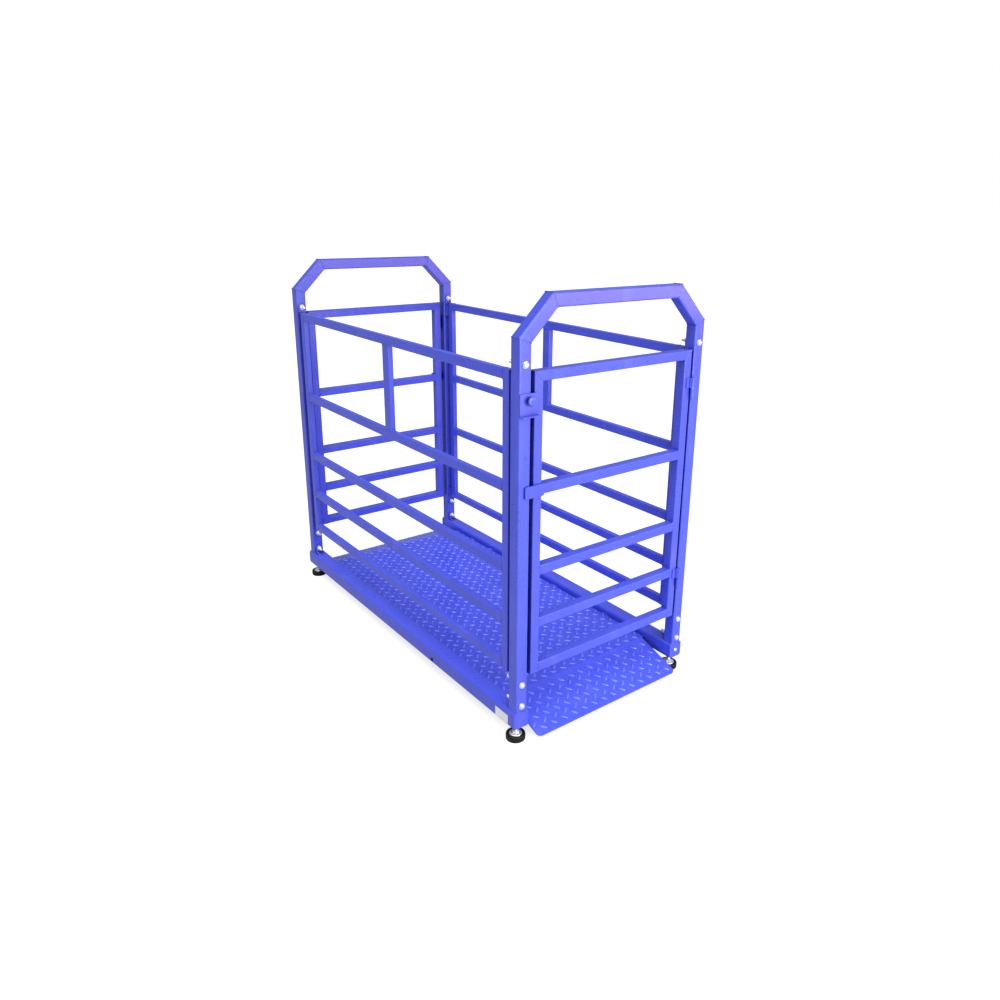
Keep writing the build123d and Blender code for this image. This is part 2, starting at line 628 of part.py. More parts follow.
def build():
    os.makedirs("parts", exist_ok=True)
    corners = [(side, end) for side in (-1, 1) for end in (-1, 1)]
    sides = {"left": -1, "right": 1}
    ends = {"front": -1, "rear": 1}

    for name, side in sides.items():
        save(f"{name}_beam", side_beam(side))
        save(f"{name}_panel_end_bars", *end_bars(side))
        save(f"{name}_panel_rails", *[panel_rail(side, level) for level in LEVELS])
        save(f"{name}_panel_stub", panel_stub(side))
        save(f"{name}_panel_lugs", *panel_lugs(side), *[turned(s) for s in panel_lugs(-side)])
    save("beam_end_caps", *[beam_cap(*corner) for corner in corners])
    for name, y in zip(("front", "front_middle", "middle", "rear_middle", "rear"), CROSS_Y):
        save(f"{name}_cross_member", cross_member(y))
    save("deck_plate", deck_plate())
    save("front_lip", front_lip())
    save("rear_lip", turned(front_lip()))
    save("lip_ribs", *both_ends([lip_rib(x) for x in RIB_X]))
    save("load_cells", *[load_cell(*corner) for corner in corners])
    save("load_cell_spacers", *[cell_spacer(*corner) for corner in corners])
    save("load_cell_bolts", *[cell_bolt(*corner, y) for corner in corners for y in CELL_BOLT_Y])
    save("junction_box", junction_box(), *junction_posts())
    save("junction_box_lid", junction_lid())
    save("junction_box_screws", *junction_screws())
    save("junction_box_glands", *glands())
    save("post_foot_lugs", *both_ends([foot_lug(side) for side in (-1, 1)]))
    save("lead_grommet", lead_grommet())
    save("label_plate", label_plate())

    bolt_places = [(side * POST_X, z) for side in (-1, 1) for z in BOLT_LEVELS]
    bolts = [post_bolt(x, z) for x, z in bolt_places]
    save("front_post_bolts", *bolts, end_plug())
    save("rear_post_bolts", *[turned(s) for s in bolts])
    save("post_washers", *both_ends([w for x, z in bolt_places for w in post_washers(x, z)]))
    save("post_nuts", *both_ends([post_nut(x, z) for x, z in bolt_places]))

    for name, end in ends.items():
        save(f"{name}_hoop", *at_end(end, front_hoop()))
        save(f"{name}_hinge_post_knuckles", *at_end(end, [post_knuckle(mid) for mid in HINGE_MIDS]))
        save(f"{name}_hinge_pins", *at_end(end, [hinge_pin(mid) for mid in HINGE_MIDS]))
        save(f"{name}_gate_frame", *at_end(end, gate_frame()))
        save(f"{name}_gate_rails", *at_end(end, [gate_rail(level) for level in LEVELS[1:4]]))
        save(f"{name}_gate_knuckles", *at_end(end, [gate_knuckle(mid) for mid in HINGE_MIDS]))
        save(f"{name}_gate_stop_tab", *at_end(end, [stop_tab()]))
        save(f"{name}_latch_plate", *at_end(end, [latch_plate()]))
        save(f"{name}_latch_bolt", *at_end(end, [latch_bolt()]))
        for side_name, side in sides.items():
            x, y = side * BEAM_X, end * FOOT_Y
            save(f"{name}_{side_name}_foot_pad", foot_pad(x, y))
            save(f"{name}_{side_name}_foot_stud", foot_stud(x, y), lock_nut(x, y))


build()
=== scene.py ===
import json
from math import atan2, cos, pi, radians, sin, tan

import bpy
from mathutils import Matrix, Vector


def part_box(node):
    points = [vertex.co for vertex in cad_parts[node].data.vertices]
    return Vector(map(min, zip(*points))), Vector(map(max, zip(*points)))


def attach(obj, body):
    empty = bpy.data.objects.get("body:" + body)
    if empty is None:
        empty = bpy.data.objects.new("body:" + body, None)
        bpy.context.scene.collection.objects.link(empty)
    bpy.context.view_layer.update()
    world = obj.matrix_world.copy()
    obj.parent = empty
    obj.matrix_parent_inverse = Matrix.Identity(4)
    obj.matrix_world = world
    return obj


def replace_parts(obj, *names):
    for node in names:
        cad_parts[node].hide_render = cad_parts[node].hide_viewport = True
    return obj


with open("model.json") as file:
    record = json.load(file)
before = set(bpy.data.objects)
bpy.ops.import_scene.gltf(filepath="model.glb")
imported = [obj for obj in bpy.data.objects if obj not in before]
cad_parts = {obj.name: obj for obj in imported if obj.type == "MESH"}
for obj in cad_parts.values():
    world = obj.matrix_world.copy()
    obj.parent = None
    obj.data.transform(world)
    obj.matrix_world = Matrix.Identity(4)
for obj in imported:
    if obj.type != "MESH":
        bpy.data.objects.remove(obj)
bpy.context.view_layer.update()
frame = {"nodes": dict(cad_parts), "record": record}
nodes = frame["nodes"]


# ---------------------------------------------------------------- sizes in metres

MM = 0.001
DECK_LOW, DECK_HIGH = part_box("deck_plate")
LIP_LOW, LIP_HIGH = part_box("front_lip")
BEAM_LOW, BEAM_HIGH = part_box("right_beam")
HOOP_LOW, HOOP_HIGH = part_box("front_hoop")
GATE_LOW, GATE_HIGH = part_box("front_gate_frame")
PANEL_LOW, PANEL_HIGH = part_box("right_panel_rails")
STUB_LOW, STUB_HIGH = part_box("right_panel_stub")
KNOB_LOW, KNOB_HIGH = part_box("front_latch_bolt")
LABEL_LOW, LABEL_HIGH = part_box("label_plate")
LIP_BEND = DECK_HIGH.y

# Sizes of the design that no node's box gives
RAIL_LEVELS = [z * MM for z in (224, 374, 542, 790, 1112)]     # undersides of the rails
RAIL = 30 * MM
POST = 40 * MM
POST_X = 340 * MM               # centre lines of the posts
POST_Y = 730 * MM
HOOP_CHAMFER = 111 * MM
BEAM_SIZE = 54 * MM
BEAM_CORNER = 7 * MM
END_CAP = 4 * MM                # plate on a beam's end
LIP_END_TOP = 26 * MM
CROSS_MEMBERS = ("front", "front_middle", "middle", "rear_middle", "rear")


# ---------------------------------------------------------------- mesh helpers

class Shape:
    """Points and faces gathered piece by piece, then made into one mesh."""

    def __init__(self):
        self.points = []
        self.faces = []

    def add(self, points, faces, matrix=None):
        """Take in a piece, moved by a matrix where one is given."""
        start = len(self.points)
        for point in points:
            self.points.append(matrix @ Vector(point) if matrix else Vector(point))
        for face in faces:
            self.faces.append([start + i for i in face])

    def object(self, name, material, body):
        """The finished piece, smooth but for its sharp edges, riding on a CAD body."""
        mesh = bpy.data.meshes.new(name)
        mesh.from_pydata([tuple(p) for p in self.points], [], self.faces)
        mesh.validate()
        mesh.update()
        mesh.polygons.foreach_set("use_smooth", [True] * len(mesh.polygons))
        mesh.set_sharp_from_angle(angle=radians(38))
        mesh.materials.append(material)
        obj = bpy.data.objects.new(name, mesh)
        bpy.context.scene.collection.objects.link(obj)
        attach(obj, body)
        return obj


def grid_faces(rows, columns, wrap):
    """Quads of a grid of points; wrap joins the last column to the first."""
    faces = []
    for r in range(rows - 1):
        for c in range(columns if wrap else columns - 1):
            d = (c + 1) % columns
            near, far = r * columns, (r + 1) * columns
            faces.append([near + c, near + d, far + d, far + c])
    return faces


def tube_faces(rings, sides):
    """Faces of a closed tube: quads between its rings of points, and a flat face on each end."""
    last = (rings - 1) * sides
    start_cap = list(range(sides))[::-1]
    end_cap = [last + i for i in range(sides)]
    return grid_faces(rings, sides, True) + [start_cap, end_cap]


def lathe(shape, profile, sides, matrix, ripple=None):
    """Turn a profile of (radius, height) about Z. ripple(angle) scales the radius."""
    points = []
    for radius, height in profile:
        for i in range(sides):
            angle = 2 * pi * i / sides
            scale = ripple(angle) if ripple else 1.0
            points.append((radius * scale * cos(angle), radius * scale * sin(angle), height))
    shape.add(points, tube_faces(len(profile), sides), matrix)


BEAD_SIDES = 8
BEAD_RIPPLE = 0.16
BEAD_PITCH = 2.6 * MM


def sweep(shape, path, radius, closed):
    """Weld bead: a round bar along a path, with the regular ripples that a bead has."""
    sides = BEAD_SIDES
    spots = []
    count = len(path)
    for i in range(count if closed else count - 1):
        a = Vector(path[i])
        b = Vector(path[(i + 1) % count])
        steps = max(2, round((b - a).length / (BEAD_PITCH / 2)))
        spots += [a.lerp(b, k / steps) for k in range(steps)]
    if not closed:
        spots.append(Vector(path[-1]))
    total = len(spots)
    points = []
    for i, spot in enumerate(spots):
        ahead = spots[(i + 1) % total] if closed or i < total - 1 else spot
        behind = spots[i - 1] if closed or i > 0 else spot
        along = (ahead - behind).normalized()
        side = along.orthogonal().normalized() if i == 0 else side - along * side.dot(along)
        side = side.normalized()
        up = along.cross(side)
        size = radius * (1 + BEAD_RIPPLE * (1 if i % 2 else -1))
        if not closed and i in (0, total - 1):
            size = radius * 0.35
        for k in range(sides):
            angle = 2 * pi * k / sides
            points.append(spot + (side * cos(angle) + up * sin(angle)) * size)
    if closed:
        faces = grid_faces(total, sides, True)
        last = (total - 1) * sides
        shift = min(range(sides), key=lambda s: (points[last] - points[s]).length)
        for k in range(sides):
            n = (k + 1) % sides
            faces.append([last + k, last + n, (n + shift) % sides, (k + shift) % sides])
    else:
        faces = tube_faces(total, sides)
    shape.add(points, faces)


def half_turn(points):
    """The same points at the rear end."""
    return [(-x, -y, z) for x, y, z in points]


# ---------------------------------------------------------------- materials

class Graph:
    """A material's node tree, with short calls for the nodes used here."""

    def __init__(self, name):
        self.material = bpy.data.materials.new(name)
        self.material.use_nodes = True
        self.tree = self.material.node_tree
        self.shader = self.tree.nodes["Principled BSDF"]
        self.place = self.node("ShaderNodeTexCoord").outputs["Object"]

    def node(self, kind, **settings):
        made = self.tree.nodes.new(kind)
        for key, value in settings.items():
            setattr(made, key, value)
        return made

    def link(self, source, target):
        self.tree.links.new(source, target)

    def stretched(self, scale):
        """Coordinates scaled along each axis, for a pattern that is drawn out along one of them."""
        mapping = self.node("ShaderNodeMapping")
        mapping.inputs["Scale"].default_value = scale
        self.link(self.place, mapping.inputs["Vector"])
        return mapping.outputs["Vector"]

    def noise(self, scale, detail=3.0, rough=0.55, vector=None):
        made = self.node("ShaderNodeTexNoise")
        made.inputs["Scale"].default_value = scale
        made.inputs["Detail"].default_value = detail
        made.inputs["Roughness"].default_value = rough
        self.link(vector or self.place, made.inputs["Vector"])
        return made.outputs["Fac"]

    def ramp(self, value, low, high, to_low=0.0, to_high=1.0):
        """The value mapped from low..high to to_low..to_high, and held there outside it."""
        made = self.node("ShaderNodeMapRange")
        made.inputs["From Min"].default_value = low
        made.inputs["From Max"].default_value = high
        made.inputs["To Min"].default_value = to_low
        made.inputs["To Max"].default_value = to_high
        self.link(value, made.inputs["Value"])
        return made.outputs["Result"]

    def math(self, operation, a, b):
        """A math node's result, of two numbers or sockets."""
        made = self.node("ShaderNodeMath", operation=operation)
        for socket, value in zip(made.inputs, (a, b)):
            if isinstance(value, (int, float)):
                socket.default_value = value
            else:
                self.link(value, socket)
        return made.outputs["Value"]

    def mix(self, factor, a, b):
        """A color between a and b, each a color or a socket."""
        made = self.node("ShaderNodeMix", data_type="RGBA")
        self.link(factor, made.inputs["Factor"])
        for socket, value in ((made.inputs[6], a), (made.inputs[7], b)):
            if isinstance(value, tuple):
                socket.default_value = (*value, 1.0)
            else:
                self.link(value, socket)
        return made.outputs[2]

    def edges(self, radius):
        """Rounded normal, and a mask that is 1 on sharp edges."""
        bevel = self.node("ShaderNodeBevel", samples=4)
        bevel.inputs["Radius"].default_value = radius
        flat = self.node("ShaderNodeNewGeometry").outputs["Normal"]
        dot = self.node("ShaderNodeVectorMath", operation="DOT_PRODUCT")
        self.link(bevel.outputs["Normal"], dot.inputs[0])
        self.link(flat, dot.inputs[1])
        return bevel.outputs["Normal"], self.ramp(dot.outputs["Value"], 0.995, 0.9)

    def painted_crevice_shade(self, reach):
        """Mask that is 1 deep in the crevices, within reach of the surfaces around, for painted shade
        there.
        """
        made = self.node("ShaderNodeAmbientOcclusion", samples=8)
        made.inputs["Distance"].default_value = reach
        return self.ramp(made.outputs["AO"], 0.85, 0.20)

    def bump(self, height, strength, distance, normal=None):
        made = self.node("ShaderNodeBump")
        made.inputs["Strength"].default_value = strength
        made.inputs["Distance"].default_value = distance
        self.link(height, made.inputs["Height"])
        if normal is not None:
            self.link(normal, made.inputs["Normal"])
        return made.outputs["Normal"]

    def finish(self, color, roughness, normal, metallic=0.0, specular=0.5, coat=0.0):
        self.link(color, self.shader.inputs["Base Color"])
        self.link(roughness, self.shader.inputs["Roughness"])
        self.link(normal, self.shader.inputs["Normal"])
        self.shader.inputs["Metallic"].default_value = metallic
        self.shader.inputs["Specular IOR Level"].default_value = specular
        self.shader.inputs["Coat Weight"].default_value = coat
        self.shader.inputs["Coat Roughness"].default_value = 0.12
        return self.material


def shade(color, factor):
    """The color made darker or lighter by a factor."""
    return tuple(min(1.0, c * factor) for c in color)


BLUE = (0.064, 0.092, 0.72)
CREVICE_SHADE_BLUE = (0.001, 0.002, 0.15)        # painted shade in the crevices
SCUFFED_BLUE = (0.30, 0.33, 0.86)
THIN_BLUE = (0.26, 0.29, 0.92)          # on the edges
TREAD_HIGHLIGHT_BLUE = (0.125, 0.170, 0.90)      # painted highlight on the tread's bars, lighter than the plate


def powder_coat(name, color, peel, reach=34 * MM, depth=0.9):
    """Glossy powder coat: orange peel, drifts of tone, faint scuffs, thinner edges and painted shade in
    the crevices.
    """
    g = Graph(name)
    rounded, edge = g.edges(1.6 * MM)
    drift = g.ramp(g.noise(5.0, 2.0), 0.3, 0.7)
    toned = g.mix(drift, shade(color, 0.94), shade(color, 1.06))
    scuff = g.ramp(g.noise(16.0, 3.0, 0.5, g.stretched((1.0, 1.0, 0.22))), 0.55, 0.75)
    scuffed = g.mix(g.math("MULTIPLY", scuff, 0.10), toned, SCUFFED_BLUE)
    thin = g.math("MULTIPLY", edge, g.ramp(g.noise(70.0, 4.0), 0.35, 0.65, 0.08, 0.30))
    worn = g.mix(thin, scuffed, THIN_BLUE)
    # Painted shade: the coat is darkened towards a deep blue in the crevices, where ambient occlusion
    # finds surfaces close by
    shaded = g.mix(g.math("MULTIPLY", g.painted_crevice_shade(reach), depth), worn, CREVICE_SHADE_BLUE)
    rough = g.ramp(g.noise(90.0, 4.0), 0.3, 0.7, 0.26, 0.36)
    rough = g.math("ADD", rough, g.math("MULTIPLY", scuff, 0.06))
    peeled = g.bump(g.noise(420.0, 2.0), peel, 0.3 * MM, rounded)
    return g.finish(shaded, rough, peeled, specular=0.5, coat=0.25)


def zinc(name, color, roughness, metal=1.0):
    """Zinc-plated or machined steel: cloudy spangle, turning marks and darker handled patches."""
    g = Graph(name)
    rounded, edge = g.edges(0.5 * MM)
    cloud = g.ramp(g.noise(160.0, 4.0, 0.6), 0.32, 0.68)
    toned = g.mix(cloud, shade(color, 0.9), shade(color, 1.06))
    bright = g.mix(g.math("MULTIPLY", edge, 0.5), toned, (0.95, 0.95, 0.97))
    lines = g.noise(900.0, 3.0, 0.6, g.stretched((1.0, 1.0, 6.0)))
    rough = g.ramp(lines, 0.3, 0.7, roughness * 0.75, roughness * 1.35)
    turned = g.bump(lines, 0.10, 0.10 * MM, rounded)
    return g.finish(bright, rough, turned, metallic=metal)


def rubber(name):
    """Black moulded rubber with a fine grain and grey dust."""
    g = Graph(name)
    rounded, edge = g.edges(0.8 * MM)
    dust = g.ramp(g.noise(55.0, 6.0, 0.7), 0.45, 0.75, 0.0, 0.35)
    toned = g.mix(dust, (0.004, 0.004, 0.005), (0.022, 0.022, 0.022))
    rubbed = g.mix(g.math("MULTIPLY", edge, 0.30), toned, (0.045, 0.045, 0.046))
    rough = g.ramp(g.noise(300.0, 3.0), 0.3, 0.7, 0.42, 0.62)
    grained = g.bump(g.noise(1400.0, 2.0), 0.25, 0.2 * MM, rounded)
    return g.finish(rubbed, rough, grained, specular=0.3)


def moulded(name, color, roughness):
    """Plain moulded plastic or printed film with a fine texture."""
    g = Graph(name)
    rounded, edge = g.edges(0.6 * MM)
    tone = g.mix(g.ramp(g.noise(40.0, 4.0), 0.3, 0.7), shade(color, 0.9), shade(color, 1.08))
    rubbed = g.mix(g.math("MULTIPLY", edge, 0.3), tone, shade(color, 1.5))
    rough = g.ramp(g.noise(200.0, 3.0), 0.3, 0.7, roughness * 0.85, roughness * 1.2)
    grained = g.bump(g.noise(1100.0, 2.0), 0.12, 0.15 * MM, rounded)
    return g.finish(rubbed, rough, grained, specular=0.4)


paint = powder_coat("blue_powder_coat", BLUE, 0.10)
# On the tread plate the painted crevice shade reaches 12 mm and goes to full depth
tread_paint = powder_coat("blue_tread_plate", BLUE, 0.16, 12 * MM, 1.0)
# The tread bars are painted lighter than the plate: a painted highlight that stands in for their lit
# tops
highlighted_crest_paint = powder_coat("tread_crests_painted_highlight", TREAD_HIGHLIGHT_BLUE, 0.16, 6 * MM, 1.0)
weld_paint = powder_coat("painted_weld", shade(BLUE, 0.92), 0.25)
zinc_plate = zinc("zinc_plate", (0.88, 0.89, 0.91), 0.30, 0.72)
bare_steel = zinc("bare_steel", (0.56, 0.57, 0.60), 0.36)
cell_alloy = zinc("load_cell_alloy", (0.74, 0.75, 0.78), 0.42)
black_rubber = rubber("black_rubber")
black_plastic = moulded("black_plastic", (0.018, 0.018, 0.020), 0.5)
label_film = moulded("white_label", (0.88, 0.89, 0.90), 0.35)

BY_SLOT = {
    "blue_powder_coat": paint,
    "blue_tread_plate": tread_paint,
    "zinc_plate": zinc_plate,
    "bare_steel": bare_steel,
    "load_cell_alloy": cell_alloy,
    "black_rubber": black_rubber,
    "black_plastic": black_plastic,
    "white_label": label_film,
}


def dress_cad_nodes():
    """Put each CAD node's material in its slots, as the record names it."""
    for row in frame["record"]["subparts"]:
        for place in nodes[row["node"]].material_slots:
            place.material = BY_SLOT[row["material_slot"]]


# ---------------------------------------------------------------- tread plate

TREAD_PITCH = 42 * MM
TREAD_LENGTH = 25 * MM
TREAD_WIDTH = 8.6 * MM
TREAD_HEIGHT = 2.9 * MM
TREAD_FIRST_ROW = 14 * MM
TREAD_OFFSET = -15 * MM
TREAD_SINK = 0.6 * MM
TREAD_BLUNT = 0.15 * MM         # half width that is left at a bar's tips
TREAD_MARGIN = TREAD_LENGTH * 0.36 + 1 * MM     # from a plate's edge to the middle of a bar, at least


def tread_bar(shape, matrix):
    """One raised lens-shaped bar of the tread pattern, standing on Z = 0."""
    steps, across = 10, 6
    points = []
    for i in range(steps + 1):
        u = -1 + 2 * i / steps
        half = TREAD_WIDTH / 2 * (1 - u * u) ** 0.8 + TREAD_BLUNT
        crest = TREAD_HEIGHT * (1 - u ** 4)
        for k in range(across + 1):
            v = -1 + 2 * k / across
            points.append((u * TREAD_LENGTH / 2, v * half, crest * (1 - v ** 2) ** 0.75))
    rim = [i * (across + 1) for i in range(steps + 1)]
    far = [r + across for r in rim[::-1]]
    ends = list(range(steps * (across + 1) + 1, (steps + 1) * (across + 1) - 1))
    outline = rim + ends + far + list(range(1, across))[::-1]
    start = len(points)
    points += [(points[i][0], points[i][1], -TREAD_SINK) for i in outline]
    faces = [f[::-1] for f in grid_faces(steps + 1, across + 1, False)]
    count = len(outline)
    for i in range(count):
        n = (i + 1) % count
        faces.append([outline[i], outline[n], start + n, start + i])
    faces.append([start + i for i in range(count)][::-1])
    shape.add(points, faces, matrix)


def tread_field(shape, low, high, lengths, first_row, plane):
    """Rows of bars that lean 45 degrees to either side by turns.

    Each bar's end points at its neighbour's middle. plane(x, s) gives the matrix of the surface at x
    across and s along."""
    row = 0
    s = first_row
    while s < lengths[1] - TREAD_MARGIN:
        x = TREAD_OFFSET + (TREAD_PITCH / 2 if row % 2 else 0)
        x -= TREAD_PITCH * int((x - low) / TREAD_PITCH)
        while x < high - TREAD_MARGIN:
            if x > low + TREAD_MARGIN and s > lengths[0] + TREAD_MARGIN:
                lean = Matrix.Rotation(radians(45 if row % 2 else -45), 4, "Z")
                tread_bar(shape, plane(x, s) @ lean)
            x += TREAD_PITCH
        s += TREAD_PITCH / 2
        row += 1


def deck_tread():
    """Tread pattern on the deck."""
    shape = Shape()
    tread_field(shape, DECK_LOW.x, DECK_HIGH.x, (-LIP_BEND, LIP_BEND), TREAD_FIRST_ROW - LIP_BEND,
                lambda x, s: Matrix.Translation((x, s, DECK_HIGH.z)))
    shape.object("deck_tread_pattern", highlighted_crest_paint, "base")


def lip_tread(end_name, end):
    """Tread pattern on a sloped lip; end is -1 in front and 1 at the rear."""
    run = -LIP_LOW.y - LIP_BEND
    drop = DECK_HIGH.z - LIP_END_TOP
    slope = atan2(drop, run)
    length = run / cos(slope)
    turn = Matrix.Rotation(0 if end < 0 else pi, 4, "Z")
    tilt = Matrix.Rotation(slope, 4, "X")

    def plane(x, s):
        spot = Vector((x, -LIP_BEND - s * cos(slope), DECK_HIGH.z - s * sin(slope)))
        return turn @ Matrix.Translation(spot) @ tilt

    shape = Shape()
    tread_field(shape, LIP_LOW.x, LIP_HIGH.x, (0, length), 2 * TREAD_FIRST_ROW, plane)
    shape.object(f"{end_name}_lip_tread_pattern", highlighted_crest_paint, "base")


# ---------------------------------------------------------------- welds

BEAD = 1.7 * MM                 # radius of the beads
SEAM = BEAD * 0.8               # and of the flatter seams on gates and hoops
POST_BEAD = BEAD * 1.1
STITCH_BEAD = 2.4 * MM
STITCH = 32 * MM
STITCH_GAP = 118 * MM
STITCH_START = 40 * MM          # from the deck's end to the first stitch
STITCH_OFFSET = 0.4 * MM        # from the deck's edge towards the beam
WELD_INSET = 0.6 * MM           # how far a bead sits within the width of its tube
SEAM_INSET = 0.5 * MM
LOOP_CORNER = 3 * MM
MITRE_CORNER = 2.5 * MM
POST_CORNER = 4 * MM
HALF_MITRE = radians(22.5)      # of the hoops' 135 degree corners


def rectangle_loop(centre, u, v, half_u, half_v, corner=LOOP_CORNER):
    """Rounded rectangle about a centre in the plane of u and v."""
    centre, u, v = Vector(centre), Vector(u), Vector(v)
    points = []
    for su, sv, start in ((1, 1, 0), (-1, 1, 90), (-1, -1, 180), (1, -1, 270)):
        for step in (0, 45, 90):
            angle = radians(start + step)
            pu = su * (half_u - corner) + corner * cos(angle)
            pv = sv * (half_v - corner) + corner * sin(angle)
            points.append(centre + u * pu + v * pv)
    return points


def panel_welds(side_name, side):
    """Beads where a panel's rails meet its end bars, and round the ends of its stub."""
    shape = Shape()
    x = side * (PANEL_LOW.x + PANEL_HIGH.x) / 2
    depth = (PANEL_HIGH.x - PANEL_LOW.x) / 2
    for level in RAIL_LEVELS:
        for end in (-1, 1):
            centre = (x, end * PANEL_HIGH.y, level + RAIL / 2)
            loop = rectangle_loop(centre, (1, 0, 0), (0, 0, 1), depth - WELD_INSET, RAIL / 2)
            sweep(shape, loop, BEAD, True)
    for z in (STUB_LOW.z, STUB_HIGH.z):
        loop = rectangle_loop((x, 0, z), (1, 0, 0), (0, 1, 0), depth - WELD_INSET, STUB_HIGH.y)
        sweep(shape, loop, BEAD, True)
    shape.object(f"{side_name}_panel_welds", weld_paint, "base")


def mitre_loop(corner, width_dir, half):
    """Loop round the mitre of two square tubes that meet at a corner point.

    width_dir points along the cut within the frame's plane, as long as half the cut."""
    return rectangle_loop(corner, Vector(width_dir).normalized(), (0, 1, 0), Vector(width_dir).length,
                          half - SEAM_INSET, MITRE_CORNER)


def gate_welds(end_name, end):
    """Beads at the ends of a gate's rails, and the seams of its two mitred top corners."""
    shape = Shape()
    y = (GATE_LOW.y + GATE_HIGH.y) / 2
    loops = []
    for level in RAIL_LEVELS[:4]:
        for x in (GATE_LOW.x + RAIL, GATE_HIGH.x - RAIL):
            loops.append(rectangle_loop((x, y, level + RAIL / 2), (0, 1, 0), (0, 0, 1),
                                        RAIL / 2 - WELD_INSET, RAIL / 2))
    top = GATE_HIGH.z - RAIL / 2
    loops.append(mitre_loop((GATE_LOW.x + RAIL / 2, y, top), (-RAIL / 2, 0, RAIL / 2), RAIL / 2))
    loops.append(mitre_loop((GATE_HIGH.x - RAIL / 2, y, top), (RAIL / 2, 0, RAIL / 2), RAIL / 2))
    for loop in loops:
        sweep(shape, half_turn(loop) if end > 0 else loop, SEAM, True)
    shape.object(f"{end_name}_gate_welds", weld_paint, f"{end_name}_gate")


def hoop_welds(end_name, end):
    """Seams of the four mitres of a hoop."""
    shape = Shape()
    half = POST / 2
    inset = half * tan(HALF_MITRE)
    y = (HOOP_LOW.y + HOOP_HIGH.y) / 2
    shoulder = HOOP_HIGH.z - HOOP_CHAMFER - inset
    crown_x = HOOP_HIGH.x - HOOP_CHAMFER - inset
    for side in (-1, 1):
        low = Vector((side * cos(HALF_MITRE), 0, sin(HALF_MITRE))) * half / cos(HALF_MITRE)
        high = Vector((side * sin(HALF_MITRE), 0, cos(HALF_MITRE))) * half / cos(HALF_MITRE)
        for spot, cut in (((side * (HOOP_HIGH.x - half), y, shoulder), low),
                          ((side * crown_x, y, HOOP_HIGH.z - half), high)):
            loop = mitre_loop(spot, cut, half)
            sweep(shape, half_turn(loop) if end > 0 else loop, SEAM, True)
    shape.object(f"{end_name}_hoop_welds", weld_paint, "base")


def platform_welds():
    """Beads round the feet of the posts and the cross members' ends, stitches along the deck's edges."""
    shape = Shape()
    for x in (-POST_X, POST_X):
        for y in (-POST_Y, POST_Y):
            centre = (x, y, BEAM_HIGH.z)
            loop = rectangle_loop(centre, (1, 0, 0), (0, 1, 0), POST / 2, POST / 2, POST_CORNER)
            sweep(shape, loop, POST_BEAD, True)
    count = int(2 * DECK_HIGH.y / (STITCH + STITCH_GAP))
    for side in (-1, 1):
        x = side * (DECK_HIGH.x + STITCH_OFFSET)
        for i in range(count):
            y = -DECK_HIGH.y + STITCH_START + i * (STITCH + STITCH_GAP)
            sweep(shape, [(x, y, DECK_HIGH.z), (x, y + STITCH, DECK_HIGH.z)], STITCH_BEAD, False)
        for name in CROSS_MEMBERS:
            low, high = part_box(f"{name}_cross_member")
            centre = (side * high.x, (low.y + high.y) / 2, (low.z + high.z) / 2)
            half_z = (high.z - low.z) / 2 - SEAM_INSET
            loop = rectangle_loop(centre, (0, 1, 0), (0, 0, 1), (high.y - low.y) / 2, half_z)
            sweep(shape, loop, BEAD, True)
    shape.object("platform_welds", weld_paint, "base")


# ---------------------------------------------------------------- fasteners

BOLT_LEVELS = [z * MM for z in (127, 199, 1162)]
BOLT_R = 5 * MM
BOLT_HEAD_R = 9 * MM
BOLT_HEAD_H = 7 * MM
BOLT_PITCH = 1.5 * MM
BOLT_TAIL = 30 * MM             # how far a bolt reaches past the post's back face
THREAD_START = 4 * MM
WASHER = 1.5 * MM
NUT_FLATS = 16 * MM
NUT_SEAT = 6.5 * MM             # lug and washer between the post and the nut
NUT_H = 8 * MM
PLUG_R = 7 * MM                 # round plug in the right beam's end
PLUG_H = 4 * MM

def facing(x, y, z, out):
    """Matrix that turns +Z towards the -Y (out = -1) or +Y (out = 1) direction, at a point."""
    return Matrix.Translation((x, y, z)) @ Matrix.Rotation(radians(90 if out < 0 else -90), 4, "X")


def thread(shape, radius, low, high, pitch, matrix):
    """Threaded length of a stud: a helical ridge with a chamfered tip."""
    sides = 28
    rows = max(2, round((high - low) / pitch * 5))
    points = []
    for r in range(rows + 1):
        z = low + (high - low) * r / rows
        near_tip = min(1.0, (high - z) / radius * 1.4 + 0.7)
        for i in range(sides):
            phase = (z / pitch - i / sides) % 1.0
            ridge = abs(phase * 2 - 1)
            size = radius * near_tip - 0.10 * radius * ridge
            angle = 2 * pi * i / sides
            points.append((size * cos(angle), size * sin(angle), z))
    shape.add(points, tube_faces(rows + 1, sides), matrix)


def hex_prism(shape, flats, low, high, matrix):
    """Hexagon with its corners turned down at both ends, as nuts and bolt heads have."""
    sides = 48
    corner = flats / 2 / cos(pi / 6)

    def row(limit, z):
        ring = []
        for i in range(sides):
            angle = 2 * pi * i / sides
            local = (angle % (pi / 3)) - pi / 6
            size = min(flats / 2 / cos(local), limit)
            ring.append((size * cos(angle), size * sin(angle), z))
        return ring

    step = (corner - flats / 2) * 0.6
    rows = [row(flats / 2 * 0.97, low), row(corner, low + step), row(corner, high - step),
            row(flats / 2 * 0.97, high)]
    shape.add([p for r in rows for p in r], tube_faces(len(rows), sides), matrix)


def domed_head(radius, height):
    """Profile of a round bolt head with a short straight side."""
    steps = 7
    profile = [(radius * 0.96, 0.0), (radius, 0.4 * MM), (radius, height * 0.30)]
    for i in range(1, steps + 1):
        angle = pi / 2 * i / steps
        profile.append((max(radius * cos(angle), 0.2 * MM), height * (0.30 + 0.70 * sin(angle))))
    return profile


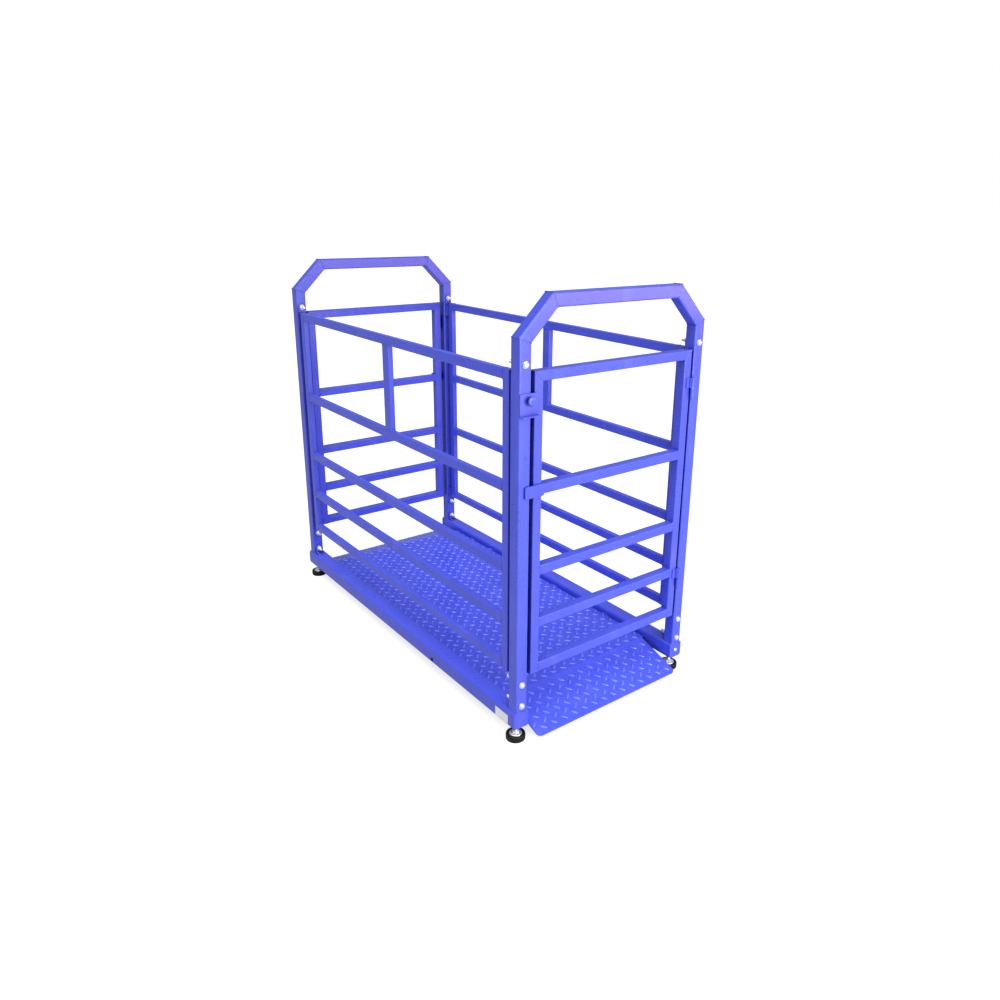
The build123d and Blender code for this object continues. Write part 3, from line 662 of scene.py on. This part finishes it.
def post_bolts(end_name, end):
    """Round-headed bolts through the posts, with their threaded ends behind the nuts."""
    name = f"{end_name}_post_bolts"
    shape = Shape()
    shank = BOLT_R - 0.1 * MM
    for side in (-1, 1):
        for z in BOLT_LEVELS:
            x = side * POST_X
            head = facing(x, end * (WASHER - HOOP_LOW.y), z, end)
            lathe(shape, domed_head(BOLT_HEAD_R, BOLT_HEAD_H), 32, head)
            back = facing(x, end * -HOOP_HIGH.y, z, -end)
            lathe(shape, [(shank, -POST), (shank, THREAD_START)], 20, back)
            thread(shape, BOLT_R, THREAD_START, BOLT_TAIL, BOLT_PITCH, back)
    if end < 0:
        middle_z = (BEAM_LOW.z + BEAM_HIGH.z) / 2
        plug = facing(BEAM_HIGH.x - BEAM_SIZE / 2, BEAM_LOW.y - END_CAP, middle_z, -1)
        lathe(shape, domed_head(PLUG_R, PLUG_H), 28, plug)
    obj = shape.object(f"{name}_detailed", zinc_plate, "base")
    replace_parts(obj, name)


def post_nuts():
    """Hexagon nuts of all the posts' bolts."""
    shape = Shape()
    for end in (-1, 1):
        for side in (-1, 1):
            for z in BOLT_LEVELS:
                back = facing(side * POST_X, end * -HOOP_HIGH.y, z, -end)
                hex_prism(shape, NUT_FLATS, NUT_SEAT, NUT_SEAT + NUT_H, back)
    obj = shape.object("post_nuts_chamfered", zinc_plate, "base")
    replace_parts(obj, "post_nuts")


# ---------------------------------------------------------------- feet

# Profiles of (radius, height) in millimetres
PAD_PROFILE = [(0.2, 1.2), (20, 1.2), (22, 0), (28.0, 0), (29.8, 0.9), (30.4, 2.4), (30.5, 5.4),
               (30.0, 6.2), (30.0, 7.2), (30.5, 8.0), (30.5, 15.0), (30.1, 17.4), (28.9, 19.2),
               (27.3, 20.0), (23.2, 20.0), (21.6, 19.4), (21.0, 18.2), (21.0, 15.0), (0.2, 15.0)]
FLANGE_PROFILE = [(0.2, 15.0), (19.5, 15.0), (20.0, 15.6), (20.0, 18.6), (19.4, 20.4), (17.7, 21.6),
                  (15.0, 22.1), (11.5, 22.4), (0.2, 22.4)]
STUD_R = 6 * MM
STUD_PITCH = 1.75 * MM
STUD_FLATS = 19 * MM
STUD_HEX = (22 * MM, 30 * MM)           # heights of the hexagon, the lock nut and the thread
LOCK_NUT = (40 * MM, 49 * MM)
STUD_THREAD = (29 * MM, 90 * MM)


def foot(end_name, side_name):
    """Rubber pad and threaded stud of one levelling foot."""
    body = f"{end_name}_{side_name}_foot"
    low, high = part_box(f"{body}_pad")
    place = Matrix.Translation(((low.x + high.x) / 2, (low.y + high.y) / 2, low.z))
    pad = Shape()
    lathe(pad, [(r * MM, z * MM) for r, z in PAD_PROFILE], 56, place)
    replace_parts(pad.object(f"{body}_rubber", black_rubber, body), f"{body}_pad")
    stud = Shape()
    lathe(stud, [(r * MM, z * MM) for r, z in FLANGE_PROFILE], 48, place)
    hex_prism(stud, STUD_FLATS, *STUD_HEX, place)
    hex_prism(stud, STUD_FLATS, *LOCK_NUT, place)
    thread(stud, STUD_R, *STUD_THREAD, STUD_PITCH, place)
    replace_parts(stud.object(f"{body}_threaded_stud", zinc_plate, body), f"{body}_stud")


# ---------------------------------------------------------------- latch knob and label

LATCH_X = 328 * MM
LATCH_BOLT_R = 5 * MM
KNOB_THICK = 6 * MM
KNOB_RIBS = 24
KNOB_RIB_DEPTH = 0.018          # of the knob's radius
FILM = 0.35 * MM
FILM_SINK = 0.1 * MM
FILM_TURN = radians(80)         # how far the label goes round the beam's corner
FILM_TURN_STEPS = 8
FILM_COLUMNS = 13


def latch_knob(end_name, end):
    """Ribbed knob on its bolt."""
    z = (KNOB_LOW.z + KNOB_HIGH.z) / 2
    place = facing(end * LATCH_X, end * -KNOB_HIGH.y, z, end)
    radius = (KNOB_HIGH.x - KNOB_LOW.x) / 2
    reach = KNOB_HIGH.y - KNOB_LOW.y
    neck = reach - KNOB_THICK
    shape = Shape()
    lathe(shape, [(LATCH_BOLT_R, 0.0), (LATCH_BOLT_R, neck)], 28, place)
    rim = [(5.6 * MM, neck), (radius * 0.86, neck + 0.1 * MM), (radius, neck + 1.4 * MM),
           (radius, reach - 2.2 * MM), (radius * 0.9, reach - 0.6 * MM),
           (radius * 0.62, reach), (0.3 * MM, reach)]
    lathe(shape, rim, 96, place, lambda angle: 1 + KNOB_RIB_DEPTH * cos(KNOB_RIBS * angle))
    obj = shape.object(f"{end_name}_latch_knob", paint, f"{end_name}_latch")
    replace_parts(obj, f"{end_name}_latch_bolt")


def label():
    """Blank film that runs down the beam's outer face and round its lower corner."""
    turn_z = BEAM_LOW.z + BEAM_CORNER
    section = [(0.0, LABEL_HIGH.z, 0.0)]
    for i in range(FILM_TURN_STEPS + 1):
        lean = FILM_TURN * i / FILM_TURN_STEPS
        section.append((BEAM_CORNER * (1 - cos(lean)), turn_z - BEAM_CORNER * sin(lean), lean))
    rows = len(section)
    columns = FILM_COLUMNS
    points = []
    for layer in (FILM, -FILM_SINK):
        for inset, z, lean in section:
            for i in range(columns):
                y = LABEL_LOW.y + (LABEL_HIGH.y - LABEL_LOW.y) * i / (columns - 1)
                points.append((LABEL_HIGH.x + inset - layer * cos(lean), y, z - layer * sin(lean)))
    outer = grid_faces(rows, columns, False)
    inner = [[i + rows * columns for i in f][::-1] for f in outer]
    outline = list(range(columns)) + [r * columns + columns - 1 for r in range(1, rows)]
    outline += [(rows - 1) * columns + c for c in range(columns - 2, -1, -1)]
    outline += [r * columns for r in range(rows - 2, 0, -1)]
    rim = []
    for i, a in enumerate(outline):
        b = outline[(i + 1) % len(outline)]
        rim.append([b, a, a + rows * columns, b + rows * columns])
    shape = Shape()
    shape.add(points, outer + inner + rim)
    obj = shape.object("blank_label", label_film, "base")
    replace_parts(obj, "label_plate")


# ---------------------------------------------------------------- studio

FLOOR_HALF = 30.0


def studio_floor():
    """Pale floor that the camera sees white, though it reflects less light than that on the object."""
    corners = [(-FLOOR_HALF, -FLOOR_HALF, 0), (FLOOR_HALF, -FLOOR_HALF, 0), (FLOOR_HALF, FLOOR_HALF, 0),
               (-FLOOR_HALF, FLOOR_HALF, 0)]
    mesh = bpy.data.meshes.new("studio_floor")
    mesh.from_pydata(corners, [], [[0, 1, 2, 3]])
    pale = bpy.data.materials.new("pale_floor")
    pale.use_nodes = True
    tree = pale.node_tree
    shader = tree.nodes["Principled BSDF"]
    shader.inputs["Base Color"].default_value = (0.40, 0.40, 0.41, 1)
    shader.inputs["Emission Color"].default_value = (1.0, 1.0, 1.0, 1)
    shader.inputs["Roughness"].default_value = 0.9
    shader.inputs["Specular IOR Level"].default_value = 0.1
    seen = tree.nodes.new("ShaderNodeLightPath")
    glow = tree.nodes.new("ShaderNodeMath")
    glow.operation = "MULTIPLY"
    glow.inputs[1].default_value = 0.76
    tree.links.new(seen.outputs["Is Camera Ray"], glow.inputs[0])
    tree.links.new(glow.outputs["Value"], shader.inputs["Emission Strength"])
    mesh.materials.append(pale)
    obj = bpy.data.objects.new("studio_floor", mesh)
    bpy.context.scene.collection.objects.link(obj)


def studio_world():
    """Soft light all round, and a white backdrop."""
    world = bpy.data.worlds.new("studio_world")
    world.use_nodes = True
    tree = world.node_tree
    around = tree.nodes["Background"]
    around.inputs["Color"].default_value = (0.94, 0.95, 1.0, 1)
    around.inputs["Strength"].default_value = 0.28
    backdrop = tree.nodes.new("ShaderNodeBackground")
    backdrop.inputs["Color"].default_value = (1.0, 1.0, 1.0, 1)
    backdrop.inputs["Strength"].default_value = 1.0
    seen = tree.nodes.new("ShaderNodeLightPath")
    choose = tree.nodes.new("ShaderNodeMixShader")
    tree.links.new(seen.outputs["Is Camera Ray"], choose.inputs["Fac"])
    tree.links.new(around.outputs["Background"], choose.inputs[1])
    tree.links.new(backdrop.outputs["Background"], choose.inputs[2])
    tree.links.new(choose.outputs["Shader"], tree.nodes["World Output"].inputs["Surface"])
    bpy.context.scene.world = world
    bpy.context.scene.view_settings.view_transform = "Standard"


def sun_lamp(name, towards, spread, power):
    """Soft distant light that comes from a direction."""
    data = bpy.data.lights.new(name, "SUN")
    data.angle = radians(spread)
    data.energy = power
    obj = bpy.data.objects.new(name, data)
    obj.rotation_euler = Vector(towards).to_track_quat("Z", "Y").to_euler()
    bpy.context.scene.collection.objects.link(obj)


def panel_lamp(name, place, target, size, power, color):
    """Rectangular soft light at a place, turned to a target."""
    data = bpy.data.lights.new(name, "AREA")
    data.shape = "RECTANGLE"
    data.size, data.size_y = size
    data.energy = power
    data.color = color
    obj = bpy.data.objects.new(name, data)
    obj.location = place
    obj.rotation_euler = (Vector(target) - Vector(place)).to_track_quat("-Z", "Y").to_euler()
    obj.visible_camera = False
    bpy.context.scene.collection.objects.link(obj)


def studio_lights():
    """Light from the sky, a key light in front, a fill on the left and a warm panel on the right."""
    sun_lamp("sky_light", (-0.32, -0.20, 1.0), 45, 2.75)
    panel_lamp("front_light", (0.25, -3.1, 1.25), (0, -0.75, 0.7), (1.6, 1.6), 68, (1.0, 1.0, 1.0))
    panel_lamp("left_light", (-2.3, -0.7, 1.3), (-0.3, -0.3, 0.6), (2.2, 1.4), 6.5, (0.9, 0.95, 1.0))
    panel_lamp("warm_panel", (2.8, -3.7, 1.25), (0, -0.75, 1.2), (2.4, 0.9), 36, (1.0, 0.56, 0.50))


CAMERA_PLACE = (-1.6071, -2.3952, 1.5542)
CAMERA_AZIMUTH = radians(-38.566)
CAMERA_ELEVATION = radians(17.741)
CAMERA_ROLL = radians(1.0)


def camera():
    """Camera at the photograph's viewing angle."""
    back = Vector((sin(CAMERA_AZIMUTH) * cos(CAMERA_ELEVATION),
                   -cos(CAMERA_AZIMUTH) * cos(CAMERA_ELEVATION), sin(CAMERA_ELEVATION)))
    right = Vector((cos(CAMERA_AZIMUTH), sin(CAMERA_AZIMUTH), 0))
    up = back.cross(right)
    x_axis = right * cos(CAMERA_ROLL) + up * sin(CAMERA_ROLL)
    y_axis = up * cos(CAMERA_ROLL) - right * sin(CAMERA_ROLL)
    data = bpy.data.cameras.new("camera")
    data.sensor_width = 36
    data.lens = 28.93
    data.shift_x = -0.0373
    data.shift_y = -0.0355
    data.clip_end = 100
    obj = bpy.data.objects.new("camera", data)
    turn = Matrix((x_axis, y_axis, back)).transposed().to_4x4()
    obj.matrix_world = Matrix.Translation(CAMERA_PLACE) @ turn
    bpy.context.scene.collection.objects.link(obj)
    bpy.context.scene.camera = obj


# ---------------------------------------------------------------- the object

ENDS = (("front", -1), ("rear", 1))
SIDES = (("left", -1), ("right", 1))

dress_cad_nodes()
deck_tread()
for end_name, end in ENDS:
    lip_tread(end_name, end)
for side_name, side in SIDES:
    panel_welds(side_name, side)
for end_name, end in ENDS:
    gate_welds(end_name, end)
    hoop_welds(end_name, end)
    post_bolts(end_name, end)
    latch_knob(end_name, end)
    for side_name, side in SIDES:
        foot(end_name, side_name)
platform_welds()
post_nuts()
label()
studio_floor()
studio_world()
studio_lights()
camera()
